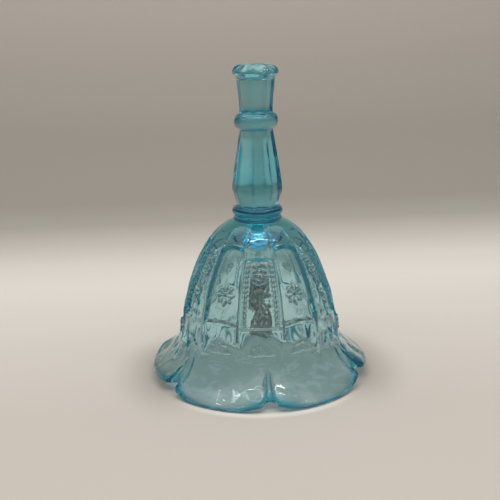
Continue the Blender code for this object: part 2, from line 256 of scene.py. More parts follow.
# The bowl and its skirt, in metres; angles are in radians from the front
bowl = {
    "height": 0.087, "topRadius": 0.0129, "footRadius": 0.0438, "wall": 0.0038,
    "cavityHeight": 0.0765, "shoulder": 0.63, "flank": 1.5, "cavityShoulder": 0.37,
    "outerCrowding": 1.5, "innerCrowding": 2.0,    # how much the outlines' points crowd towards the top
    "outerSteps": 400, "innerSteps": 300, "skirtSteps": 120,
    "panels": 12, "flatness": 0.65, "turn": math.radians(-4),
    "flatTopFade": 0.2, "flatFoot": 0.15, "flatFootFade": 1.2,    # shares of bowl and skirt
    "skirtHeight": 0.0285, "skirtRadius": 0.05997, "skirtSlope": math.radians(36),
    "edgePull": 0.75, "outerPull": (0.0001, 0.70), "innerPull": (0.0004, 0.62),
    "rim": 0.0034, "footSink": 0.00015, "footHalfAngle": math.radians(18),
    "crimps": ((0, 0.0034), (63, 0.0034), (121, 0.0022)), "crimpSpread": math.radians(11),
    "pleatDepth": 0.0048, "pleatTop": math.radians(1.2), "pleatFoot": math.radians(3.3),
    "pleatWiden": 1.25, "pleatWidenFade": 0.003,
    "valleyDepth": 0.0008, "valleySpread": math.radians(6.5),
    "pleatStart": 0.0175, "crowd": 0.55, "crowdSpread": math.radians(8),
    "raisedLift": 0.0040, "raisedAngle": math.radians(89), "raisedNarrowness": 0.68,
    "plugMouth": 0.0052, "plugTop": 0.0036, "plugDepth": 0.0068, "plugDrop": 0.0040, "gap": 0.0003,
    "crownGaps": 4.0, "socketEdge": 0.0001,
    "fineSteps": 432, "plainSteps": 144,
    "reliefTop": 0.079, "reliefFoot": 0.0195, "reliefGap": 0.0006, "shoulderGap": 0.00105,
    "skirtGap": 0.00105, "insideGap": 0.0013, "cavityGap": 0.0022,
    "joinLift": 0.004, "joinGap": 0.0016, "joinRadii": (0.036, 0.048), "joinLevels": (0.001, 0.009),
    "tierRadii": (0.012, 0.0145), "tierLevels": (-0.0012, 0.0008),
}
panelStep = 2.0 * math.pi / bowl["panels"]
panelEdge = bowl["turn"] + panelStep / 2.0


def rimPoint(turn):  # 0 is the skirt's outside, half a turn its inside
    half = bowl["rim"] / 2.0
    lean = math.pi / 2.0 - bowl["skirtSlope"] - turn
    return (bowl["skirtRadius"] - half + half * math.cos(lean),
            max(0.0, half - bowl["footSink"] + half * math.sin(lean)))


def skirtCurve(edge, topRadius, pull):  # pull is how far out and how low it is drawn at its start
    edgePull = (bowl["skirtRadius"] - bowl["footRadius"]) * bowl["edgePull"]
    pullEdge = (edge[0] - edgePull, edge[1] + edgePull * math.tan(bowl["skirtSlope"]))
    pullTop = (topRadius + pull[0], bowl["skirtHeight"] * pull[1])
    return curveThrough((topRadius, bowl["skirtHeight"]), pullTop, pullEdge, edge, bowl["skirtSteps"])


def outsideLine():
    drop = np.linspace(0.0, 1.0, bowl["outerSteps"]) ** bowl["outerCrowding"]
    swell = (1.0 - (1.0 - drop) ** bowl["flank"]) ** bowl["shoulder"]
    upper = np.column_stack((mix(bowl["topRadius"], bowl["footRadius"], swell),
                             mix(bowl["height"], bowl["skirtHeight"], drop)))
    skirt = skirtCurve(rimPoint(0.0), bowl["footRadius"], bowl["outerPull"])
    return np.vstack((upper, skirt[1:]))


def insideLines():
    foot = bowl["footRadius"] - bowl["wall"]
    crown = bowl["plugMouth"] + bowl["gap"] * bowl["crownGaps"]
    drop = np.linspace(0.0, 1.0, bowl["innerSteps"]) ** bowl["innerCrowding"]
    upper = np.column_stack((mix(crown, foot, drop ** bowl["cavityShoulder"]),
                             mix(bowl["cavityHeight"], bowl["skirtHeight"], drop)))
    return upper, skirtCurve(rimPoint(math.pi), foot, bowl["innerPull"])


def rimLine():
    flatStart = math.pi - bowl["skirtSlope"] - bowl["footHalfAngle"]
    turns = [*np.linspace(0.0, flatStart, 5), flatStart + 2.0 * bowl["footHalfAngle"], math.pi]
    return np.array([rimPoint(turn) for turn in turns])


def crimp(angle, radius, height, widen=1.0):
    # lifts the rim at each crimp and at the two raised lobes, and folds a pleat in, wider above the rim
    reach = smooth(1.0 - height / bowl["skirtHeight"])
    offLine = np.abs(np.cos(angle - bowl["raisedAngle"])) - bowl["raisedNarrowness"]
    lift = bowl["raisedLift"] * smooth(offLine / (1.0 - bowl["raisedNarrowness"]))
    push = np.zeros_like(angle)
    down = smooth(1.0 - height / bowl["pleatStart"])
    spread = mix(bowl["pleatTop"], bowl["pleatFoot"], down)
    spread = spread * mix(1.0, widen, smooth((height - bowl["rim"]) / bowl["pleatWidenFade"]))
    shift = np.zeros_like(angle)
    for degrees, crimpLift in bowl["crimps"]:
        for halfTurn in (0.0, math.pi):
            away = wrapped(angle - math.radians(degrees) - halfTurn)
            shift = shift + bowl["crowd"] * reach * away * hump(away, bowl["crowdSpread"])
            away = away * (1.0 - bowl["crowd"] * reach * hump(away, bowl["crowdSpread"]))
            lift = lift + crimpLift * hump(away, bowl["crimpSpread"])
            push = push + bowl["pleatDepth"] * down * np.exp(-(away / spread) ** 4)
            push = push + bowl["valleyDepth"] * reach * hump(away, bowl["valleySpread"])
    height = np.maximum(0.0, height + (lift - bowl["footSink"]) * reach)
    return angle - shift, radius - push, height


def facetFactor(angle, sides):  # how much nearer the axis a flat is than its corners
    side = 2.0 * math.pi / sides
    return math.cos(side / 2.0) / np.cos(angle % side - side / 2.0)


# What is pressed into the glass, in metres: depths, widths and heights, and where each part stands
relief = {
    "frameShare": 0.93, "frameDepth": 0.0010, "frameSoft": 0.0010,
    "tallTop": 0.072, "tallFoot": 0.0385, "tallCorner": 0.0010,
    "archTop": 0.0770, "archFoot": 0.041, "archCorner": 0.0024, "archRise": 0.0013,
    "rib": 0.0005, "ribWidth": 0.0009, "ribTop": 0.0862, "ribTopFade": 0.008,
    "ribFoot": 0.004, "ribFootFade": 0.034,
    "lip": 0.00026, "lipInset": 0.0006, "lipWidth": 0.0005,
    "petals": 8, "flowerEye": 0.0007, "petalRoom": 0.9,
    "bigFlower": 0.0525, "bigFlowerReach": 0.0074, "bigPetal": 0.0019, "bigPetalTall": 0.0005,
    "smallFlower": 0.0545, "smallFlowerReach": 0.0060, "smallPetal": 0.0017, "smallPetalTall": 0.0015,
    "veinDepth": 0.0008, "veinWidth": 0.00042, "sideVein": 0.6, "sideVeinPlace": 0.55, "sideVeinWidth": 0.8,
    "stem": 0.00035, "stemTop": 0.0500, "stemFoot": 0.0440, "stemWidth": 0.0004, "stemBend": 0.0006,
    "stemMiddle": 0.046, "stemWave": 0.0011, "stemSoft": 0.001,
    "beadPitch": 0.0026, "beadRadius": 0.0012, "beadHeight": 0.0011, "beadInset": 0.0014,
    "rowTop": 0.0708, "rowFoot": 0.0397, "rowSoft": 0.0006,
    "bars": (0.0690, 0.0666, 0.0642, 0.0618), "barHeight": 0.0009, "barHalf": 0.0036, "barWidth": 0.00062,
    "barBend": 0.0005, "barWave": 0.0011, "barShift": 1.7, "barSoft": 0.0016,
    "scallops": (-0.0036, -0.0012, 0.0012, 0.0036), "scallopLevel": 0.0418, "scallopRadius": 0.0011,
    "scallopHeight": 0.0005,
    "fan": 0.0242, "fanReach": 0.0068, "fanHeight": 0.0009, "fanCentre": 0.0012, "fanSoft": 0.0008,
    "ray": math.radians(19), "rayWidth": 0.00036, "rayFlare": 0.05, "raySoft": 0.0007, "rayTips": 0.07,
    "fanEdge": 0.8, "fanEdgeWidth": 0.00042, "fanSpread": math.radians(86), "fanSpreadSoft": 0.2,
    "hoopShare": 0.85, "hoopSoft": 0.002,
    "hoopLine": 0.0228, "hoopLineTall": 0.00028, "hoopLineWidth": 0.00045,
    "hoopArc": 0.0195, "hoopArcTall": 0.00026, "hoopArcWidth": 0.00055, "hoopArcRise": 0.0026,
    "ripple": 0.00030, "rippleTop": 0.075, "rippleFade": 0.040,
    # share; times round, start and lean of one wave; length, twist and start of the wave that crosses it
    "ripples": ((1.0, 7.0, 1.3, math.inf, 0.0042, 2.0, 0.0),
                (1.0, 13.0, 0.4, 0.011, 0.0031, -5.0, 0.7),
                (0.6, 31.0, 2.1, math.inf, 0.0050, 3.0, 0.0)),
}


def edgeOf(inside, softness):  # 1 well inside, 0 outside; inside is the distance in from the edge
    return smooth(0.5 + inside / softness)


def betweenLevels(up, low, high, softness):  # 1 between two levels
    return edgeOf(up(low), softness) * edgeOf(-up(high), softness)


def dome(away):  # a round button, away in radii from its centre
    return np.sqrt(np.clip(1.0 - away ** 2, 0.0, 1.0))


def roundedBox(across, along, halfWidth, halfLength, corner):
    # distance inside a box with rounded corners
    offX = np.abs(across) - halfWidth + corner
    offY = np.abs(along) - halfLength + corner
    outside = np.hypot(np.maximum(offX, 0.0), np.maximum(offY, 0.0))
    return corner - outside - np.minimum(np.maximum(offX, offY), 0.0)


def flower(across, along, reach, petal, tall, turn):
    # pointed petals, each with a centre vein and two side veins
    rho = np.hypot(across, along)
    petalTurn = 2.0 * math.pi / relief["petals"]
    phi = (np.arctan2(across, along) - turn + petalTurn / 2.0) % petalTurn - petalTurn / 2.0
    out, side = rho * np.cos(phi), rho * np.sin(phi)
    share = np.clip(out / reach, 0.0, 1.0)
    room = out * math.tan(petalTurn / 2.0) * relief["petalRoom"]
    half = np.minimum(petal * np.sin(math.pi * share ** 0.8) ** 0.7, room)
    half = np.maximum(half, 1e-6)
    body = dome(side / half) * (out < reach)
    offVein = np.abs(side) - half * relief["sideVeinPlace"]
    sideVeins = hump(offVein, relief["veinWidth"] * relief["sideVeinWidth"])
    veins = hump(side, relief["veinWidth"]) + relief["sideVein"] * sideVeins
    raised = tall * body - relief["veinDepth"] * veins * (body > 0.05)
    return raised + tall * hump(rho, relief["flowerEye"])


def beads(across, along, halfWidth):
    row = np.abs(across) - (halfWidth - relief["beadInset"])
    step = (along + relief["beadPitch"] / 2.0) % relief["beadPitch"] - relief["beadPitch"] / 2.0
    return relief["beadHeight"] * dome(np.hypot(row, step) / relief["beadRadius"])


def tallPattern(across, along, up, frameHalf):
    # bars at the top, a large flower, beads down both sides and scallops at the foot
    out = flower(across, up(relief["bigFlower"]), relief["bigFlowerReach"], relief["bigPetal"],
                 relief["bigPetalTall"], math.pi / relief["petals"])
    for number, level in enumerate(relief["bars"]):
        wave = relief["barBend"] * np.sin(across / relief["barWave"] + relief["barShift"] * number)
        ends = edgeOf(relief["barHalf"] - np.abs(across), relief["barSoft"])
        out = out + relief["barHeight"] * ends * hump(up(level) - wave, relief["barWidth"])
    inRow = betweenLevels(up, relief["rowFoot"], relief["rowTop"], relief["rowSoft"])
    out = out + beads(across, along, frameHalf) * inRow
    for offset in relief["scallops"]:
        away = np.hypot(across - offset, up(relief["scallopLevel"])) / relief["scallopRadius"]
        out = out + relief["scallopHeight"] * dome(away)
    return out


def archPattern(across, up):
    # a small flower on a stem
    out = flower(across, up(relief["smallFlower"]), relief["smallFlowerReach"], relief["smallPetal"],
                 relief["smallPetalTall"], 0.0)
    bend = relief["stemBend"] * np.sin(up(relief["stemMiddle"]) / relief["stemWave"])
    stem = hump(across - bend, relief["stemWidth"])
    stem = stem * betweenLevels(up, relief["stemFoot"], relief["stemTop"], relief["stemSoft"])
    return out + relief["stem"] * stem


def fanPattern(across, up, half):
    # under every panel: a fan of rays, then a line and an arc
    fanUp = up(relief["fan"])
    rho, phi = np.hypot(across, fanUp), np.arctan2(across, fanUp)
    side = rho * np.sin((phi + relief["ray"] / 2.0) % relief["ray"] - relief["ray"] / 2.0)
    spread = edgeOf(relief["fanSpread"] - np.abs(phi), relief["fanSpreadSoft"])
    tips = (1.0 - relief["rayTips"]) + relief["rayTips"] * np.cos(phi * 2.0 * math.pi / (2.0 * relief["ray"]))
    reachHere = relief["fanReach"] * tips
    inFan = edgeOf(reachHere - rho, relief["raySoft"]) * spread
    inFan = inFan * edgeOf(rho - relief["fanCentre"], relief["fanSoft"])
    rays = hump(side, relief["rayWidth"] + rho * relief["rayFlare"]) * inFan
    fan = rays + relief["fanEdge"] * hump(rho - reachHere, relief["fanEdgeWidth"]) * spread
    out = relief["fanHeight"] * fan * (fanUp > -0.0005)
    inPanel = edgeOf(half * relief["hoopShare"] - np.abs(across), relief["hoopSoft"])
    out = out + relief["hoopLineTall"] * inPanel * hump(up(relief["hoopLine"]), relief["hoopLineWidth"])
    arc = up(relief["hoopArc"]) + relief["hoopArcRise"] * (across / half) ** 2
    return out + relief["hoopArcTall"] * inPanel * hump(arc, relief["hoopArcWidth"])


def unevenness(angle, along, height):
    # the glass is never quite even: low ripples, strongest towards the skirt
    total = np.zeros_like(angle)
    for share, times, start, lean, length, twist, shift in relief["ripples"]:
        wave = share * np.sin(times * angle + start + along / lean)
        total = total + wave * np.sin(along / length + twist * angle + shift)
    return relief["ripple"] * total * smooth((relief["rippleTop"] - height) / relief["rippleFade"])


def pressPattern(angle, radius, height, alongAt):
    # how far the pressed pattern stands out from the plain bowl
    panel = np.round((angle - bowl["turn"]) / panelStep)
    across = radius * (angle - bowl["turn"] - panel * panelStep)
    half = radius * panelStep / 2.0
    along = -alongAt(height)                       # grows upwards
    tall = (np.abs(panel) % 2) < 0.5
    frameHalf = half * relief["frameShare"]

    def up(level):
        return along + alongAt(np.array(level))    # distance above a level, along the glass

    tallTop, tallFoot = relief["tallTop"], relief["tallFoot"]
    tallSpan = up(tallFoot) - up(tallTop)
    middle = up(tallFoot) - tallSpan / 2.0
    tallBox = roundedBox(across, middle, frameHalf, tallSpan / 2.0, relief["tallCorner"])
    archSpan = up(relief["archFoot"]) - up(relief["archTop"])
    rise = up(relief["archFoot"]) - archSpan / 2.0 + relief["archRise"] * (across / frameHalf) ** 2
    archBox = roundedBox(across, rise, frameHalf, archSpan / 2.0, relief["archCorner"])
    tallFrame = edgeOf(tallBox, relief["frameSoft"])
    archFrame = edgeOf(archBox, relief["frameSoft"])
    out = -relief["frameDepth"] * np.where(tall, tallFrame, archFrame)

    # ribs between the panels, and a fine lip round each frame
    ribFade = smooth((relief["ribTop"] - height) / relief["ribTopFade"])
    ribFade = ribFade * smooth((height - relief["ribFoot"]) / relief["ribFootFade"])
    out = out + relief["rib"] * ribFade * hump(half - np.abs(across), relief["ribWidth"])
    lip = hump(np.where(tall, tallBox, archBox) + relief["lipInset"], relief["lipWidth"])
    out = out + relief["lip"] * lip

    out = out + np.where(tall, tallPattern(across, along, up, frameHalf), 0.0) * tallFrame
    out = out + np.where(tall, 0.0, archPattern(across, up)) * archFrame
    return out + fanPattern(across, up, half) + unevenness(angle, along, height)


def steepness(angle, radius, height, alongAt):  # of the pressed pattern
    step = 0.0002
    sideways = pressPattern(angle + step / radius, radius, height, alongAt)
    sideways = sideways - pressPattern(angle - step / radius, radius, height, alongAt)
    upwards = pressPattern(angle, radius, height + step, alongAt)
    upwards = upwards - pressPattern(angle, radius, height - step, alongAt)
    return np.hypot(sideways, upwards) / (2.0 * step)


# Painted on the glass: deeper blue and dark where light bends and reflects inside it; shares of that colour,
# and how far each place reaches
tones = {
    "rib": 0.7, "ribWidth": math.radians(2.0), "ribFoot": 0.020, "ribFootFade": 0.020, "ribTop": 0.0865,
    "ribTopFade": 0.008,
    "pleat": 0.95, "pleatStart": 1.25, "pleatSide": 0.8, "pleatWidth": 0.36, "pleatFade": 2.5,
    "crimpRim": 0.9, "crimpRimWidth": math.radians(17), "crimpRimTop": 0.0075, "crimpRimFade": 0.0045,
    "rim": 0.35, "rimTop": 0.0045, "rimFade": 0.002,
    "edgeFrom": 0.22, "edgeSpan": 0.8, "sidePanels": 0.32, "sidePanelWidth": 0.26, "frameFade": 0.035,
    "topMargin": 0.0004, "topFade": 0.001, "underPanels": 0.35, "underPanelsFade": 0.001,
    "edgeFoot": 0.021, "edgeFootFade": 0.002,
}


def refractionStreaks(angle, height):
    # painted deep blue standing in for light bent and reflected inside the glass: ribs seen side-on, both
    # sides of each pleat, and the rim, most of all beside the crimps
    panel = np.round((angle - bowl["turn"]) / panelStep)
    offEdge = panelStep / 2.0 - np.abs(angle - bowl["turn"] - panel * panelStep)
    onRib = smooth((height - tones["ribFoot"]) / tones["ribFootFade"])
    deep = tones["rib"] * np.sin(angle) ** 2 * hump(offEdge, tones["ribWidth"]) * onRib
    deep = deep * smooth((tones["ribTop"] - height) / tones["ribTopFade"])
    down = smooth(1.0 - height / (bowl["pleatStart"] * tones["pleatStart"]))
    onRim = smooth((tones["crimpRimTop"] - height) / tones["crimpRimFade"])
    spread = mix(bowl["pleatTop"], bowl["pleatFoot"], down)
    for degrees, _ in bowl["crimps"]:
        for halfTurn in (0.0, math.pi):
            away = np.abs(wrapped(angle - math.radians(degrees) - halfTurn))
            fold = hump(away - tones["pleatSide"] * spread, tones["pleatWidth"] * spread)
            deep = deep + tones["pleat"] * fold * smooth(down * tones["pleatFade"])
            deep = deep + tones["crimpRim"] * hump(away, tones["crimpRimWidth"]) * onRim
    return deep + tones["rim"] * smooth((tones["rimTop"] - height) / tones["rimFade"])


def darkEdges(angle, radius, height, alongAt):
    # painted shade: steep edges of the pattern are darkened where light bends away at them, most of all on
    # the front, the back and the arched panels
    edges = smooth((steepness(angle, radius, height, alongAt) - tones["edgeFrom"]) / tones["edgeSpan"])
    panel = np.round((angle - bowl["turn"]) / panelStep)
    offCentre = np.abs(angle - bowl["turn"] - panel * panelStep)
    facing = mix(tones["sidePanels"], 1.0, hump(np.sin(angle - bowl["turn"]), tones["sidePanelWidth"]))
    edges = edges * np.where(np.abs(panel) % 2 < 0.5, facing, 1.0)
    frameEdge = panelStep * 0.5 * relief["frameShare"]
    edges = edges * smooth((frameEdge - offCentre) / tones["frameFade"])
    edges = edges * smooth((relief["tallTop"] - tones["topMargin"] - height) / tones["topFade"])
    onPanel = smooth((height - relief["tallFoot"]) / tones["underPanelsFade"])
    edges = edges * mix(tones["underPanels"], 1.0, onPanel)
    return edges * smooth((height - tones["edgeFoot"]) / tones["edgeFootFade"])


def makeBowlOutside():
    line = outsideLine()
    top = evenly(cutLine(line, bowl["height"], bowl["reliefTop"]), bowl["shoulderGap"])
    middle = evenly(cutLine(line, bowl["reliefTop"], bowl["reliefFoot"]), bowl["reliefGap"])
    low = evenly(cutLine(line, bowl["reliefFoot"], line[-1][1]), bowl["skirtGap"])
    whole = np.vstack((top, middle[1:], low[1:], rimLine()[1:]))
    piece = turnLine("glassBell", whole, panelEdge, bowl["fineSteps"])
    angle, radius, height = readPlaces(piece)
    slope = np.gradient(line, axis=0)
    slope = slope / np.hypot(*slope.T)[:, None]

    def byHeight(values):
        return lambda level: np.interp(-level, -line[:, 1], values)

    alongAt = byHeight(lengthAlong(line))
    isRim = radius > line[-1][0] + 1e-6
    isRim |= height < line[-1][1] - 1e-6
    fromTop = smooth((bowl["height"] - height) / (bowl["height"] * bowl["flatTopFade"]))
    aboveFoot = height - bowl["skirtHeight"] * bowl["flatFoot"]
    fromFoot = smooth(aboveFoot / (bowl["skirtHeight"] * bowl["flatFootFade"]))
    flat = mix(1.0, facetFactor(angle - panelEdge, bowl["panels"]), bowl["flatness"] * fromTop * fromFoot)
    out = np.where(isRim, 0.0, pressPattern(angle, radius, height, alongAt))
    outRadius = radius * flat - out * byHeight(slope[:, 1])(height)
    outHeight = height + out * byHeight(slope[:, 0])(height)
    # painted deep blue and painted edge shade, kept on the vertices for the glass's colour
    keepValues(piece, "thick", refractionStreaks(angle, height))
    keepValues(piece, "crevice", darkEdges(angle, np.maximum(radius, 0.001), height, alongAt))
    writePlaces(piece, *crimp(angle, outRadius, outHeight))
    return piece


def makeBowlInside():
    upper, skirt = insideLines()
    join = bowl["reliefFoot"] + bowl["joinLift"]
    low = evenly(cutLine(skirt, join, skirt[-1][1]), bowl["insideGap"])
    under = turnLine("skirtInside", low[::-1], panelEdge, bowl["fineSteps"])
    writePlaces(under, *crimp(*readPlaces(under), bowl["pleatWiden"]))
    cavity = np.vstack((upper, skirt[1:]))
    cavity = evenly(cutLine(cavity, bowl["cavityHeight"], join + bowl["joinGap"]), bowl["cavityGap"])
    taper = bowl["plugDrop"] / (bowl["plugDrop"] + bowl["plugDepth"])
    entry = mix(bowl["plugMouth"], bowl["plugTop"], taper) + bowl["gap"]
    roof = bowl["cavityHeight"] + bowl["plugDepth"] + bowl["gap"]
    top, edge = bowl["plugTop"] + bowl["gap"], bowl["socketEdge"]
    socket = [(0.0, roof), (top * 0.5, roof), (top - edge, roof), (top, roof - edge)]
    socket += [(mix(top, entry, share), mix(roof, bowl["cavityHeight"], share)) for share in (0.33, 0.66)]
    socket += [(entry, bowl["cavityHeight"] + edge), (entry + edge, bowl["cavityHeight"])]
    inside = turnLine("cavity", np.vstack((socket, cavity)), panelEdge, bowl["plainSteps"])
    writePlaces(inside, *crimp(*readPlaces(inside), bowl["pleatWiden"]))
    return under, inside


# The solid handle: outline points are (radius, drop from the top, share of facets, share of scallops) in mm
handle = {
    "tall": 0.083, "sides": 8, "turn": math.radians(-14.4), "steps": 144,
    "scallop": 0.0006, "scallopLift": 0.6, "pole": 0.0015,
    "facetCrowding": 0.85, "cornerRounding": 0.010, "cornerWidth": math.radians(2.6),
    "ringTilt": 0.050, "ringTiltReach": 0.55,
    "finial": ((0.0, 0.40, 0, 0), (3.0, 0.43, 0, 0), (5.6, 0.62, 0, 0.3), (7.2, 0.92, 0, 0.7),
               (8.5, 1.30, 0, 1), (9.6, 1.80, 0, 1), (10.6, 2.45, 0, 0.9), (11.4, 3.20, 0, 0.7),
               (11.9, 3.95, 0, 0.5), (12.1, 4.60, 0, 0.4), (12.0, 5.05, 0, 0.4), (11.6, 5.55, 0, 0.6),
               (11.0, 6.15, 0, 0.7), (10.5, 6.85, 0.1, 0.5), (10.15, 7.55, 0.4, 0.2), (10.2, 8.20, 1, 0)),
    "column": ((10.2, 9.1, 1, 0), (9.9, 13.0, 1, 0), (9.36, 17.3, 1, 0), (9.1, 21.5, 1, 0),
               (9.0, 24.9, 1, 0), (9.0, 25.5, 0.6, 0)),
    "middleRing": (25.8, 8.0, 9.0, 11.7, 1.15), "middleRingSteps": 11,
    "grip": ((9.15, 34.2, 0.6, 0), (9.2, 35.1, 1, 0), (9.9, 39.5, 1, 0), (10.75, 44.5, 1, 0),
             (11.73, 50.3, 1, 0), (12.7, 56.5, 1, 0), (13.45, 61.6, 1, 0), (13.62, 63.4, 1, 0),
             (13.8, 65.6, 0.95, 0), (13.8, 66.8, 0.85, 0), (13.3, 68.3, 0.7, 0), (12.45, 71.05, 0.5, 0),
             (11.6, 73.2, 0.3, 0), (10.95, 74.9, 0.1, 0)),
    "collar": (75.3, 5.3, 10.8, 13.7, 0.8), "collarSteps": 9,
    "tier": ((12.9, 80.75, 0, 0), (13.1, 81.2, 0, 0), (13.1, 82.5, 0, 0)),
    # painted deep blue at the facet corners, two painted dark reflection streaks on the grip, and painted
    # shade at the ring creases
    "cornerTone": 0.5, "cornerToneWidth": math.radians(4.0), "cornerToneTop": 0.134, "cornerToneFade": 0.010,
    "reflectionStreaks": (math.radians(-57), math.radians(123)), "reflectionStreakTone": 0.95, "reflectionStreakWidth": math.radians(7),
    "reflectionStreakTop": 0.134, "reflectionStreakFoot": 0.102, "reflectionStreakFade": 0.008,
    # painted shade at the creases: drop from the top and width in mm, and share of the deep colour
    "creaseShades": ((8.0, 0.6, 0.6), (25.6, 0.8, 0.9), (28.6, 0.8, 0.75), (34.0, 0.9, 0.9), (66.5, 1.2, 0.35),
                (77.6, 2.4, 1.0), (81.5, 0.7, 0.7)),
}


def band(top, tall, inner, outer, power, steps):  # a ring that swells out; a lower power is rounder
    rows = []
    for step in range(steps + 1):
        turn = math.pi * step / steps
        radius = inner + (outer - inner) * math.sin(turn) ** power
        rows.append((radius, top + tall * (1.0 - math.cos(turn)) / 2.0, 0, 0))
    return rows


def handleRefractionStreaks(angle, offCorner, facets, drop, height):
    # painted deep blue standing in for light bent and reflected inside the handle: at its corners, in two
    # dark streaks on the grip, and at the creases beside the rings
    onFlats = smooth((handle["cornerToneTop"] - height) / handle["cornerToneFade"])
    deep = handle["cornerTone"] * hump(offCorner, handle["cornerToneWidth"]) * facets * onFlats
    onGrip = smooth((handle["reflectionStreakTop"] - height) / handle["reflectionStreakFade"])
    onGrip = onGrip * smooth((height - handle["reflectionStreakFoot"]) / handle["reflectionStreakFade"])
    for streakAngle in handle["reflectionStreaks"]:
        deep = deep + handle["reflectionStreakTone"] * hump(wrapped(angle - streakAngle), handle["reflectionStreakWidth"]) * onGrip
    for creaseDrop, width, share in handle["creaseShades"]:
        deep = deep + share * hump(creaseDrop - drop, width)
    return deep


def makeHandle():
    top = bowl["height"] + handle["tall"]
    rows = [*handle["finial"], *handle["column"], *band(*handle["middleRing"], handle["middleRingSteps"]),
            *handle["grip"], *band(*handle["collar"], handle["collarSteps"]), *handle["tier"]]
    rows = np.array(rows)
    line = np.column_stack((rows[:, 0] / 1000.0, top - rows[:, 1] / 1000.0))
    piece = turnLine("handle", line, handle["turn"], handle["steps"])
    angle, radius, height = readPlaces(piece)
    side = 2.0 * math.pi / handle["sides"]
    # columns of vertices crowd towards the corners of the facets, where the glass is rounded
    local = (angle - handle["turn"]) % side / side - 0.5
    corner = (angle - handle["turn"]) - local * side
    crowded = mix(local, np.sin(math.pi * local) / 2.0, handle["facetCrowding"])
    angle = handle["turn"] + corner + side * crowded
    facets = np.interp(-height, -line[:, 1], rows[:, 2])
    scallops = np.interp(-height, -line[:, 1], rows[:, 3]) * handle["scallop"]
    offCorner = (angle - handle["turn"] + side / 2.0) % side - side / 2.0
    rounding = 1.0 - handle["cornerRounding"] * hump(offCorner, handle["cornerWidth"])
    reach = radius * mix(1.0, facetFactor(angle - handle["turn"], handle["sides"]) * rounding, facets)
    wave = scallops * np.cos(handle["sides"] * (angle - handle["turn"]))
    wave = np.where(radius < handle["pole"], 0.0, wave)
    ringTop, ringTall = handle["middleRing"][0] / 1000.0, handle["middleRing"][1] / 1000.0
    offRing = height - (top - ringTop - ringTall / 2.0)
    tilt = handle["ringTilt"] * radius * np.sin(angle) * hump(offRing, ringTall * handle["ringTiltReach"])
    drop = (top - height) * 1000.0
    # painted deep blue, kept on the vertices for the glass's colour
    keepValues(piece, "thick", handleRefractionStreaks(angle, offCorner, facets, drop, height))
    writePlaces(piece, angle, reach + wave, height + handle["scallopLift"] * wave + tilt)
    return piece


def makeBell():
    handlePiece = makeHandle()
    outside = makeBowlOutside()
    under, inside = makeBowlInside()
    bell = joinPieces([outside, under, inside, handlePiece])
    bpy.ops.object.mode_set(mode="EDIT")
    bpy.ops.mesh.select_all(action="SELECT")
    bpy.ops.mesh.remove_doubles(threshold=mergeGap)
    joins = (("inside", bowl["joinRadii"], bowl["reliefFoot"], bowl["joinLevels"]),
             ("under the tier", bowl["tierRadii"], bowl["height"], bowl["tierLevels"]))
    for place, radii, level, reach in joins:
        count = selectOpenEdges(bell, radii, (level + reach[0], level + reach[1]))
        print("bell:", count, "open edges bridged", place)
        bpy.ops.mesh.bridge_edge_loops()
    bpy.ops.object.mode_set(mode="OBJECT")
    cleanUp(bell)
    bell.name = "glassBell"
    bell.data.name = "glassBell"
    print("bell:", len(bell.data.vertices), "vertices")
    return bell


glassLook = {
    "thin": ((0.84, 0.90, 0.90), (0.89, 0.93, 0.93)), "deep": (0.03, 0.42, 0.60), "dark": (0.05, 0.08, 0.09),
    "cloudSize": 25.0, "swellSize": 60.0, "dimpleSize": 170.0, "grainSize": 900.0,
    "swell": 0.8, "dimple": 0.10, "grain": 0.02, "bump": 0.5, "bumpDepth": 0.0009, "roughness": 0.012,
    "inside": (0.42, 0.86, 0.918), "density": 100.0, "bending": 1.5,
}


def makeGlass():
    material, flow = newMaterial("blueGlass")
    swell = noise(flow, glassLook["swellSize"], 1.0)    # fire polish leaves the surface slightly wavy
    grain = noise(flow, glassLook["grainSize"], 3.0)
    dimple = noise(flow, glassLook["dimpleSize"], 1.0)
    height = swell * glassLook["swell"] + dimple * glassLook["dimple"] + grain * glassLook["grain"]
    normal = flow.add("ShaderNodeBump", None, {
        "Strength": glassLook["bump"], "Distance": glassLook["bumpDepth"], "Height": height})
    thin = noise(flow, glassLook["cloudSize"], 2.0).between(0.3, 0.7).tint(*glassLook["thin"])
    # painted deep blue and painted dark edges, read from the vertices
    deep = flow.add("ShaderNodeAttribute", {"attribute_name": "thick"}, out="Fac").between(0.0, 1.0)
    crevice = flow.add("ShaderNodeAttribute", {"attribute_name": "crevice"}, out="Fac")
    shader = flow.add("ShaderNodeBsdfPrincipled", None, {
        "Base Color": crevice.tint(deep.tint(thin, glassLook["deep"]), glassLook["dark"]),
        "Roughness": glassLook["roughness"] * grain,
        "Transmission Weight": 1.0,
        "IOR": glassLook["bending"],
        "Normal": normal,
    })
    volume = flow.add("ShaderNodeVolumeAbsorption", None, {
        "Color": (*glassLook["inside"], 1.0), "Density": glassLook["density"]})
    endMaterial(flow, shader, volume)
    return material


# The plug's bright cyan tones and its glow are painted light: they stand in for light coming through the
# glass onto the plug
cementLook = {
    "tones": ((0.10, 0.78, 0.92), (0.05, 0.58, 0.74)), "glow": (0.0, 0.55, 0.72), "glowStrength": 0.14,
    "cloudSize": 700.0, "pitSize": 2600.0, "bump": 0.6, "bumpDepth": 0.0002, "roughness": (0.7, 0.2),
}


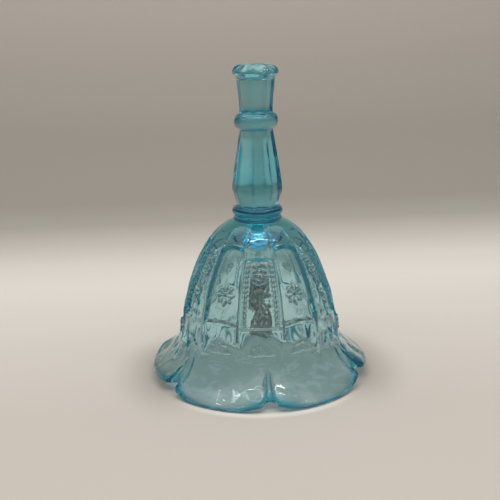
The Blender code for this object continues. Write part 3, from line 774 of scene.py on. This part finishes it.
def makeCement():
    material, flow = newMaterial("whiteCement")
    cloud = noise(flow, cementLook["cloudSize"], 4.0)
    pits = noise(flow, cementLook["pitSize"], 2.0)
    normal = flow.add("ShaderNodeBump", None, {
        "Strength": cementLook["bump"], "Distance": cementLook["bumpDepth"], "Height": cloud + 0.5 * pits})
    shader = flow.add("ShaderNodeBsdfPrincipled", None, {
        # painted light: bright cyan tones and a glow
        "Base Color": cloud.between(0.3, 0.7).tint(*cementLook["tones"]),
        "Emission Color": (*cementLook["glow"], 1.0),
        "Emission Strength": cementLook["glowStrength"],
        "Roughness": cementLook["roughness"][0] + cementLook["roughness"][1] * pits,
        "Normal": normal,
    })
    endMaterial(flow, shader)
    return material


# Bright and worn colours, and roughness where bright
metalLooks = {
    "wireSteel": ((0.72, 0.71, 0.69), (0.40, 0.38, 0.35), 0.18),
    "clapperSteel": ((0.60, 0.59, 0.58), (0.22, 0.21, 0.20), 0.20),
}


def makeMetal(name):
    bright, dull, shine = metalLooks[name]
    material, flow = newMaterial(name)
    wear = noise(flow, 400.0, 4.0).between(0.35, 0.70)
    scratches = noise(flow, 2400.0, 2.0)
    normal = flow.add("ShaderNodeBump", None, {"Strength": 0.3, "Distance": 0.0001, "Height": scratches})
    shader = flow.add("ShaderNodeBsdfPrincipled", None, {
        "Base Color": wear.tint(bright, dull),
        "Metallic": 1.0 - 0.25 * wear,
        "Roughness": shine + 0.22 * wear + 0.08 * scratches,
        "Normal": normal,
    })
    endMaterial(flow, shader)
    return material


def dress(piece, material, body, node):
    piece.data.materials.clear()
    piece.data.materials.append(material)
    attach(piece, body)
    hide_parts(node)


glass = makeGlass()
cement = makeCement()
wireMetal = makeMetal("wireSteel")
clapperMetal = makeMetal("clapperSteel")

bell = makeBell()
dress(bell, glass, "bell", "glass_bell")

# The plug that closes the crown, and what hangs from it
plug = {"top": 0.0036, "mouth": 0.0052, "topEdge": 0.0003, "footEdge": 0.0004,
        "foot": ((0.0030, 0.0002), (0.0018, 0.0001)),    # radius and lift: its foot is not quite level
        "hole": 0.0009, "holeDeep": 0.0063, "steps": 64}


def makePlug():
    low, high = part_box("anchor_plug")
    foot, top = low.z, high.z
    roof = [(0.0, top), (plug["top"] * 0.5, top), (plug["top"] - plug["topEdge"], top)]
    side = [(plug["top"], top - plug["topEdge"]), (mix(plug["top"], plug["mouth"], 0.5), mix(top, foot, 0.5)),
            (plug["mouth"], foot + plug["footEdge"]), (plug["mouth"] - plug["footEdge"], foot)]
    under = [(radius, foot + lift) for radius, lift in plug["foot"]]
    hole = [(plug["hole"], foot), (plug["hole"], foot + plug["holeDeep"]), (0.0, foot + plug["holeDeep"])]
    piece = turnLine("cementPlug", np.array([*roof, *side, *under, *hole]), 0.0, plug["steps"])
    cleanUp(piece)
    return piece


dress(makePlug(), cement, "bell", "anchor_plug")
print("plug: done")

# Wire eyes and links; the wires are round
wire = {"eyeWire": 0.0006, "eyeRadius": 0.0015, "linkWire": 0.0005, "linkRadius": 0.0014,
        "linkStraight": 0.0024, "steps": 40, "round": 14}


def makeRing(name, radius, thickness, centre, sideways):  # upright; sideways is edge on
    bpy.ops.object.select_all(action="DESELECT")
    bpy.ops.mesh.primitive_torus_add(
        major_radius=radius, minor_radius=thickness,
        major_segments=wire["steps"], minor_segments=wire["round"], location=centre,
        rotation=(math.pi / 2.0, 0.0, math.pi / 2.0 if sideways else 0.0))
    piece = bpy.context.object
    piece.name = name
    bpy.ops.object.transform_apply(location=True, rotation=True, scale=True)
    return piece


def makeLink(name, centre, sideways):
    # a ring whose upper and lower halves are drawn apart
    piece = makeRing(name, wire["linkRadius"], wire["linkWire"], centre, sideways)
    for half in (1.0, -1.0):
        bpy.ops.object.mode_set(mode="EDIT")
        bpy.ops.mesh.select_all(action="DESELECT")
        bpy.ops.object.mode_set(mode="OBJECT")
        for vertex in piece.data.vertices:
            vertex.select = (vertex.co.z - centre[2]) * half > 1e-6
        bpy.ops.object.mode_set(mode="EDIT")
        bpy.ops.transform.translate(value=(0.0, 0.0, half * wire["linkStraight"] / 2.0))
    bpy.ops.object.mode_set(mode="OBJECT")
    cleanUp(piece)
    return piece


def makeEye(name, centre, sideways, shankFrom, shankTo):
    piece = makeRing(name, wire["eyeRadius"], wire["eyeWire"], centre, sideways)
    bpy.ops.mesh.primitive_cylinder_add(
        vertices=wire["round"], radius=wire["eyeWire"], depth=abs(shankTo - shankFrom),
        location=(0.0, 0.0, (shankFrom + shankTo) / 2.0))
    shank = bpy.context.object
    bpy.ops.object.transform_apply(location=True, rotation=True, scale=True)
    alone(piece)
    weld = piece.modifiers.new("weld", "BOOLEAN")
    weld.operation = "UNION"
    weld.object = shank
    bpy.ops.object.modifier_apply(modifier="weld")
    bpy.data.objects.remove(shank)
    cleanUp(piece)
    return piece


def middleOf(node):
    low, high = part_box(node)
    return (0.0, 0.0, (low.z + high.z) / 2.0)


for number in (1, 2):
    node = f"chain_link_{number}"
    link = makeLink(f"chainLink{number}", middleOf(node), number % 2 == 1)
    dress(link, wireMetal, f"link_{number}", node)
eyeLow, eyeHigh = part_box("anchor_eye")
eyeCentre = eyeLow.z + wire["eyeRadius"] + wire["eyeWire"]
anchor = makeEye("anchorEye", (0.0, 0.0, eyeCentre), False, eyeCentre + wire["eyeRadius"], eyeHigh.z)
dress(anchor, wireMetal, "bell", "anchor_eye")
eyeLow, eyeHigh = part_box("clapper_eye")
eyeCentre = eyeHigh.z - wire["eyeRadius"] - wire["eyeWire"]
hanger = makeEye("clapperEye", (0.0, 0.0, eyeCentre), True, eyeCentre - wire["eyeRadius"], eyeLow.z)
dress(hanger, wireMetal, "clapper", "clapper_eye")
print("chain: done")

# The clapper: a turned metal bullet
clapper = {"neck": 0.0023, "neckLong": 0.0012, "girth": 0.0080, "shoulder": 0.0105, "corner": 0.0034,
           "neckPull": (0.7, 0.0006), "shoulderPull": 0.005, "neckTop": 0.85, "neckEdge": 0.0004,
           "hole": 0.0009, "holeDeep": 0.0063, "steps": 72, "shoulderSteps": 26, "cornerSteps": 11}


def makeClapper():
    low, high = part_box("clapper_body")
    top, foot = high.z, low.z
    neck, neckFoot, shoulder = clapper["neck"], top - clapper["neckLong"], top - clapper["shoulder"]
    girth, corner = clapper["girth"], clapper["corner"]
    pullNeck = (girth * clapper["neckPull"][0], neckFoot - clapper["neckPull"][1])
    side = curveThrough((neck, neckFoot), pullNeck, (girth, shoulder + clapper["shoulderPull"]),
                        (girth, shoulder), clapper["shoulderSteps"])
    straight = [(girth, mix(shoulder, foot + corner, share)) for share in (0.25, 0.5, 0.75)]
    edge = [(girth - corner * (1.0 - math.cos(turn)), foot + corner * (1.0 - math.sin(turn)))
            for turn in np.linspace(0.0, math.pi / 2.0, clapper["cornerSteps"] + 1)]
    hole, holeTop = clapper["hole"], top - clapper["holeDeep"]
    start = [(0.0, holeTop), (hole, holeTop), (hole, top), (neck * clapper["neckTop"], top),
             (neck, top - clapper["neckEdge"])]
    line = np.array([*start, *side, *straight, *edge, (0.0, foot)])
    piece = turnLine("clapperBullet", line, 0.0, clapper["steps"])
    cleanUp(piece)
    return piece


dress(makeClapper(), clapperMetal, "clapper", "clapper_body")
print("clapper: done")

# Floor and backdrop: one sheet that rises behind the bell; its tone, set along its length, is a painted
# falloff of light: a bright band just behind the bell, darker beyond it and lighter again up the wall
studio = {
    "half": 1.8, "bendFrom": 0.95, "bendRadius": 0.9, "bendSteps": 24, "wall": 1.2, "start": -0.6, "end": 3.0,
    "tones": [(0.0, (0.545, 0.500, 0.460)), (0.1515, (0.564, 0.525, 0.485)),
              (0.183, (0.644, 0.609, 0.569)), (0.2122, (0.728, 0.696, 0.658)),
              (0.2272, (0.685, 0.657, 0.622)), (0.2449, (0.543, 0.522, 0.491)),
              (0.2659, (0.394, 0.376, 0.346)), (0.2915, (0.338, 0.320, 0.292)),
              (0.388, (0.374, 0.354, 0.320)), (0.4696, (0.412, 0.389, 0.348)),
              (0.5729, (0.487, 0.450, 0.408)), (0.653, (0.568, 0.519, 0.477)), (1.0, (0.60, 0.55, 0.50))],
    # on the floor, painted: a soft shadow at both sides of the bell, light gathered inside it and along its
    # front rim
    "shadow": 0.42, "shadowTone": (0.16, 0.15, 0.14), "shadowSide": (0.3, 0.9),
    "shadowFrom": (0.050, 0.056), "shadowTo": (0.056, 0.088), "insideTo": (0.040, 0.060), "insideShare": 0.42,
    "glints": 0.40, "glintSize": 90.0, "glintFade": (0.48, 0.66), "lineShare": 0.45,
    "lineFrom": (0.0575, 0.0605), "lineTo": (0.0608, 0.0660), "lineFront": (0.0, 0.7),
    "lightTone": (1.0, 0.98, 0.95), "grainSize": 500.0, "roughness": (0.6, 0.1),
}


def makeFloorMaterial():
    material, flow = newMaterial("paleFloor")
    place = flow.add("ShaderNodeTexCoord", out="Object")
    side, back, up = [flow.add("ShaderNodeSeparateXYZ", None, {"Vector": place}, out=axis) for axis in "XYZ"]
    along = (back + up - studio["start"]) * (1.0 / (studio["end"] - studio["start"]))
    grain = noise(flow, studio["grainSize"], 3.0)
    square = side * side + back * back
    reach = square.maths("SQRT", square)
    sideSquare = side * side
    aside = sideSquare.maths("DIVIDE", sideSquare, reach * reach + 0.0001)    # 1 at the sides, 0 in front
    shadow = aside.between(*studio["shadowSide"]) * (1.0 - reach.between(*studio["shadowTo"]))
    shadow = shadow * reach.between(*studio["shadowFrom"])
    inside = 1.0 - reach.between(*studio["insideTo"])
    line = reach.between(*studio["lineFrom"]) * (1.0 - reach.between(*studio["lineTo"]))
    line = line * (1.0 - aside.between(*studio["lineFront"]))
    # painted falloff of light along the sheet
    tone = flow.add("ShaderNodeValToRGB", {"stops": studio["tones"]}, {"Fac": along})
    tone = (shadow * studio["shadow"]).tint(tone, studio["shadowTone"])
    glints = noise(flow, studio["glintSize"], 2.0).between(*studio["glintFade"])
    light = inside * (studio["insideShare"] + studio["glints"] * glints) + line * studio["lineShare"]
    shader = flow.add("ShaderNodeBsdfPrincipled", None, {
        "Base Color": light.tint(tone, studio["lightTone"]),
        "Roughness": studio["roughness"][0] + studio["roughness"][1] * grain,
        "Specular IOR Level": 0.2,
    })
    endMaterial(flow, shader)
    return material


def makeFloor():
    bpy.ops.object.select_all(action="DESELECT")
    depth = studio["half"] + studio["bendFrom"]
    bpy.ops.mesh.primitive_plane_add(size=1.0, location=(0.0, studio["bendFrom"] - depth / 2.0, 0.0))
    floor = bpy.context.object
    floor.name = "floor"
    floor.scale = (2.0 * studio["half"], depth, 1.0)
    bpy.ops.object.transform_apply(location=True, rotation=True, scale=True)
    bpy.ops.object.mode_set(mode="EDIT")
    bpy.ops.mesh.select_all(action="DESELECT")
    bpy.ops.object.mode_set(mode="OBJECT")
    for edge in floor.data.edges:
        edge.select = all(floor.data.vertices[v].co.y > 0 for v in edge.vertices)
    bpy.ops.object.mode_set(mode="EDIT")
    bpy.ops.mesh.select_mode(type="EDGE")
    turns = np.linspace(0.0, math.pi / 2.0, studio["bendSteps"] + 1)
    moves = np.diff(np.column_stack((np.sin(turns), 1.0 - np.cos(turns))) * studio["bendRadius"], axis=0)
    for back, up in [*moves, (0.0, studio["wall"])]:
        bpy.ops.mesh.extrude_region_move(TRANSFORM_OT_translate={"value": (0.0, back, up)})
    bpy.ops.object.mode_set(mode="OBJECT")
    bpy.ops.object.shade_smooth()
    floor.data.materials.append(makeFloorMaterial())


# Lights: size, power, place and what each points at
lightTone = (1.0, 0.97, 0.93)
lights = {
    "softAbove": ((2.4, 2.4), 22.0, (0.0, -0.10, 1.6), (0.0, 0.0, 0.0)),
    "stripLeft": ((0.012, 0.30), 0.30, (-0.30, -0.20, 0.80), (0.0, 0.0, 0.06)),
    "stripRight": ((0.012, 0.30), 0.30, (0.34, -0.12, 0.80), (0.0, 0.0, 0.06)),
    "barAbove": ((0.60, 0.018), 0.95, (0.0, -0.30, 0.85), (0.0, 0.0, 0.06)),
}


def addLight(name, size, power, place, aim):
    light = bpy.data.lights.new(name, "AREA")
    light.shape = "RECTANGLE"
    light.size, light.size_y = size
    light.energy = power
    light.color = lightTone
    holder = bpy.data.objects.new(name, light)
    bpy.context.scene.collection.objects.link(holder)
    holder.location = place
    direction = np.array(aim) - np.array(place)
    tip = math.atan2(math.hypot(direction[0], direction[1]), -direction[2])
    holder.rotation_euler = (tip, 0.0, math.atan2(direction[0], -direction[1]) + math.pi)


makeFloor()
for lightName, settings in lights.items():
    addLight(lightName, *settings)

# The room is dark below and brighter overhead
room = {"low": (0.17, 0.165, 0.16), "high": (0.48, 0.47, 0.45), "rise": (0.0, 0.8)}
world = bpy.data.worlds.new("roomLight")
world.use_nodes = True
sky = Flow(world.node_tree)
direction = sky.add("ShaderNodeTexCoord", out="Generated")
overhead = sky.add("ShaderNodeSeparateXYZ", None, {"Vector": direction}, out="Z").between(*room["rise"])
glow = overhead.tint(room["low"], room["high"])
world.node_tree.links.new(glow.socket, world.node_tree.nodes["Background"].inputs["Color"])
bpy.context.scene.world = world
bpy.context.scene.view_settings.view_transform = "Standard"
bpy.context.scene.cycles.max_bounces = 40
bpy.context.scene.cycles.transmission_bounces = 40
bpy.context.scene.cycles.glossy_bounces = 24

# The camera stands a little to the left of the front and looks down on the bell
camera = {"away": 0.450, "height": 0.195, "side": math.radians(-5.0), "down": math.radians(15.6),
          "roll": math.radians(-1.07), "aside": math.radians(0.566), "lens": 61.2}
lens = bpy.data.cameras.new("camera")
lens.lens = camera["lens"]
lens.sensor_width = 36.0
lens.clip_start, lens.clip_end = 0.01, 20.0
eye = bpy.data.objects.new("camera", lens)
bpy.context.scene.collection.objects.link(eye)
eye.location = (camera["away"] * math.sin(camera["side"]), -camera["away"] * math.cos(camera["side"]),
                camera["height"])
pitch = math.pi / 2.0 - camera["down"]
bpy.context.scene.camera = eye
turned = Matrix.Rotation(camera["side"] + camera["aside"], 4, "Z")
turned = turned @ Matrix.Rotation(pitch, 4, "X") @ Matrix.Rotation(camera["roll"], 4, "Z")
eye.rotation_euler = turned.to_euler()

print("scene: ready")
